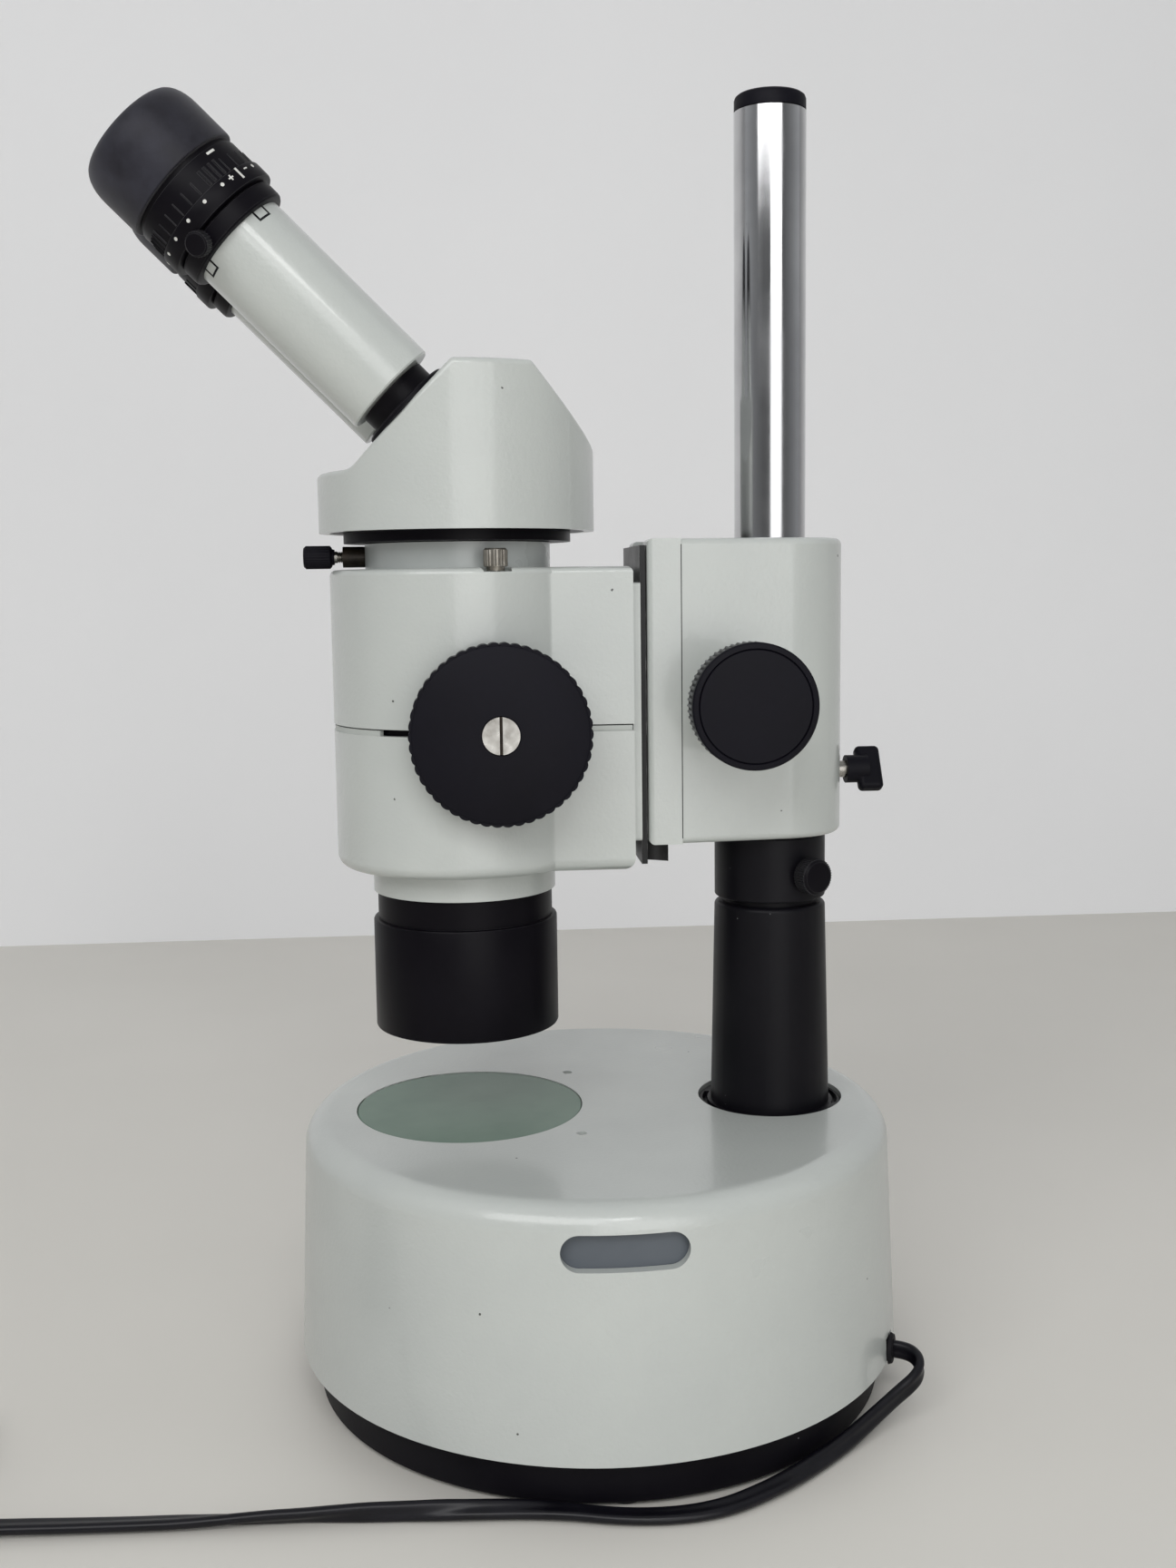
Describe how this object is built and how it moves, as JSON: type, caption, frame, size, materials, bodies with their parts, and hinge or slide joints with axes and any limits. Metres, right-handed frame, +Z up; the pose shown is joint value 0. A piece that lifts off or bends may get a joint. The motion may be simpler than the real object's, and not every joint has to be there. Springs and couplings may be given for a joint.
{
  "type": "stereo microscope",
  "caption": "Stereo zoom microscope with inclined eyepieces, carried by a rack focus drive on a chromed column above a round base with a lit glass stage.",
  "frame": {"origin": "centre of the round base on the surface it stands on", "axes": "+Z up along the column and the optical axis, -Y towards the user and the eyepieces, +X to the user's right"},
  "size_m": [0.2225, 0.4015, 0.4524],
  "materials": {
    "grey_enamel": "fine orange-peel enamel, satin",
    "black_enamel": "black stove enamel, satin",
    "black_anodised": "black anodised, matt",
    "black_knob": "moulded black, matt",
    "column_chrome": "ground and chromed, worn",
    "bright_steel": "turned steel",
    "gear_brass": "cut brass",
    "black_rubber": "matt rubber",
    "cord_sheath": "satin vinyl",
    "stage_plate": "frosted",
    "optical_glass": "polished and coated",
    "silvered_mirror": "front silvered",
    "grey_sheet": "grey painted sheet"
  },
  "bodies": {
    "root": {"base_housing": "grey_enamel", "base_plate": "black_enamel", "rubber_feet": "black_rubber", "base_screws": "bright_steel", "vent_lining": "grey_sheet", "mirror": "silvered_mirror", "mirror_bracket": "grey_sheet", "lamp_socket": "grey_sheet", "lamp_bulb": "optical_glass", "cable_gland": "black_rubber", "power_cord": "cord_sheath", "cord_coil": "cord_sheath", "cord_plug": "cord_sheath", "pillar_foot": "black_enamel", "pillar_sleeve": "black_enamel", "column": "column_chrome", "column_cap": "black_enamel"},
    "stage": {"stage_glass": "stage_plate"},
    "collar": {"stop_collar": "black_enamel"},
    "collar_screw": {"collar_screw": "black_anodised"},
    "drive": {"drive_housing": "grey_enamel", "drive_front_plate": "grey_enamel"},
    "wing_screw": {"wing_screw_shank": "bright_steel", "wing_screw_handle": "black_anodised"},
    "focus_shaft": {"pinion_shaft": "gear_brass", "focus_knob_right": "black_knob", "focus_knob_left": "black_knob"},
    "carriage": {"focus_carriage": "black_anodised", "focus_rack": "gear_brass", "body_bracket": "grey_enamel", "body_upper_shell": "grey_enamel", "body_lower_shell": "grey_enamel", "body_chassis": "black_anodised", "objective_barrel": "black_anodised", "objective_lens": "optical_glass", "head_ring": "grey_enamel"},
    "zoom": {"zoom_shaft": "bright_steel", "zoom_knob_right": "black_knob", "zoom_knob_left": "black_knob", "knob_screws": "bright_steel"},
    "upper_lenses": {"upper_lens_carriage": "black_anodised"},
    "lower_lenses": {"lower_lens_carriage": "black_anodised"},
    "top_screw": {"top_screw": "bright_steel"},
    "head_clamp": {"head_clamp_screw": "black_anodised"},
    "head": {"head_disc": "black_anodised", "head_housing": "grey_enamel", "head_prisms": "optical_glass", "tube_necks": "black_anodised"},
    "tube_right": {"eyepiece_tube_right": "grey_enamel", "clamp_ring_right": "black_anodised"},
    "eyepiece_right": {"diopter_ring_right": "black_anodised", "eyecup_right": "black_rubber", "eye_lens_right": "optical_glass"},
    "lock_screw_right": {"lock_screw_right": "black_anodised"},
    "tube_left": {"eyepiece_tube_left": "grey_enamel", "clamp_ring_left": "black_anodised"},
    "eyepiece_left": {"diopter_ring_left": "black_anodised", "eyecup_left": "black_rubber", "eye_lens_left": "optical_glass"},
    "lock_screw_left": {"lock_screw_left": "black_anodised"}
  },
  "joints": [
    {"name": "stage_lift", "type": "slide", "parent": "root", "child": "stage", "axis": [0, 0, 1], "range_m": [0, 0.025]},
    {"name": "height", "type": "slide", "parent": "root", "child": "collar", "axis": [0, 0, 1], "range_m": [0, 0.12]},
    {"name": "collar_screw_turn", "type": "hinge", "parent": "collar", "child": "collar_screw", "pos_m": [0.01871, 0.07393, 0.1839], "axis": [0.891, 0.454, 0], "range_deg": [0, 720]},
    {"name": "drive_swing", "type": "hinge", "parent": "collar", "child": "drive", "pos_m": [0, 0.0644, 0.248], "axis": [0, 0, 1], "continuous": true},
    {"name": "wing_screw_turn", "type": "hinge", "parent": "drive", "child": "wing_screw", "pos_m": [0, 0.095, 0.219], "axis": [0, 1, 0], "range_deg": [0, 720]},
    {"name": "focus", "type": "slide", "parent": "drive", "child": "carriage", "axis": [0, 0, 1], "range_m": [-0.02, 0.025]},
    {"name": "focus_knob_turn", "type": "hinge", "parent": "drive", "child": "focus_shaft", "pos_m": [0, 0.0474, 0.2472], "axis": [1, 0, 0], "range_deg": [-192, 154]},
    {"name": "zoom_turn", "type": "hinge", "parent": "carriage", "child": "zoom", "pos_m": [0, -0.0336, 0.2387], "axis": [1, 0, 0], "range_deg": [-135, 135]},
    {"name": "upper_lens_travel", "type": "slide", "parent": "carriage", "child": "upper_lenses", "axis": [0, 0, 1], "range_m": [-0.006, 0.006]},
    {"name": "lower_lens_travel", "type": "slide", "parent": "carriage", "child": "lower_lenses", "axis": [0, 0, 1], "range_m": [-0.006, 0.006]},
    {"name": "top_screw_turn", "type": "hinge", "parent": "carriage", "child": "top_screw", "pos_m": [0.04, -0.0339, 0.295], "axis": [0, 0, 1], "range_deg": [0, 720]},
    {"name": "head_clamp_turn", "type": "hinge", "parent": "carriage", "child": "head_clamp", "pos_m": [0, -0.094, 0.297], "axis": [0, -1, 0], "range_deg": [0, 720]},
    {"name": "head_turn", "type": "hinge", "parent": "carriage", "child": "head", "pos_m": [0, -0.046, 0.305], "axis": [0, 0, 1], "range_deg": [-130, 130]},
    {"name": "eye_spacing_right", "type": "hinge", "parent": "head", "child": "tube_right", "pos_m": [0.0289, -0.06102, 0.34462], "axis": [0, -0.7071, 0.7071], "range_deg": [0, 120]},
    {"name": "diopter_right", "type": "hinge", "parent": "tube_right", "child": "eyepiece_right", "pos_m": [0.0325, -0.12466, 0.40826], "axis": [0, -0.7071, 0.7071], "range_deg": [-120, 120]},
    {"name": "lock_screw_turn_right", "type": "hinge", "parent": "tube_right", "child": "lock_screw_right", "pos_m": [0.05299, -0.12313, 0.39196], "axis": [0.891, -0.321, -0.321], "range_deg": [0, 720]},
    {"name": "eye_spacing_left", "type": "hinge", "parent": "head", "child": "tube_left", "pos_m": [-0.0289, -0.06102, 0.34462], "axis": [0, -0.7071, 0.7071], "range_deg": [-120, 0]},
    {"name": "diopter_left", "type": "hinge", "parent": "tube_left", "child": "eyepiece_left", "pos_m": [-0.0325, -0.12466, 0.40826], "axis": [0, -0.7071, 0.7071], "range_deg": [-120, 120]},
    {"name": "lock_screw_turn_left", "type": "hinge", "parent": "tube_left", "child": "lock_screw_left", "pos_m": [-0.05299, -0.12313, 0.39196], "axis": [-0.891, -0.321, -0.321], "range_deg": [0, 720]}
  ],
  "couplings": [
    {"joint": "focus_knob_turn", "follows": "focus", "rad_per_m": -133.33},
    {"joint": "upper_lens_travel", "follows": "zoom_turn", "m_per_rad": -0.0025},
    {"joint": "lower_lens_travel", "follows": "zoom_turn", "m_per_rad": 0.0025},
    {"joint": "eye_spacing_left", "follows": "eye_spacing_right", "ratio": -1}
  ]
}
